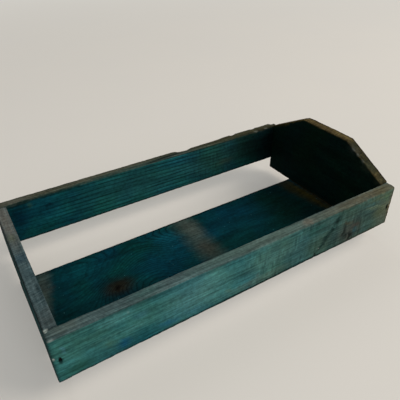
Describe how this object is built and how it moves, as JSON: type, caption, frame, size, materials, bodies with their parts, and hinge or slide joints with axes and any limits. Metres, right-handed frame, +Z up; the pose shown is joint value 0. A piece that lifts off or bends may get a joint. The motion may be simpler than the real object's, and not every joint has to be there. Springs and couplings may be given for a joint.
{
  "type": "tool caddy",
  "caption": "Open wooden tool caddy: long rails nailed to a low end and a raised end with slanted top corners, standing on a narrow bottom board.",
  "frame": {"origin": "on the surface that the caddy stands on, under the centre of its length and width", "axes": "+X along the length to the raised end, +Y across the width to the back, +Z up"},
  "size_m": [0.559, 0.3, 0.156],
  "materials": {
    "stained_softwood": "rough-sawn softwood under a thin blue-green stain, matt, worn grey along the edges",
    "nail_steel": "plain bright steel, dulled"
  },
  "bodies": {
    "root": {"bottom_board": "stained_softwood", "low_end_board": "stained_softwood", "raised_end_board": "stained_softwood", "front_rail": "stained_softwood", "back_rail": "stained_softwood", "front_rail_nails": "nail_steel", "back_rail_nails": "nail_steel", "low_end_bottom_nails": "nail_steel", "raised_end_bottom_nails": "nail_steel"}
  },
  "joints": []
}
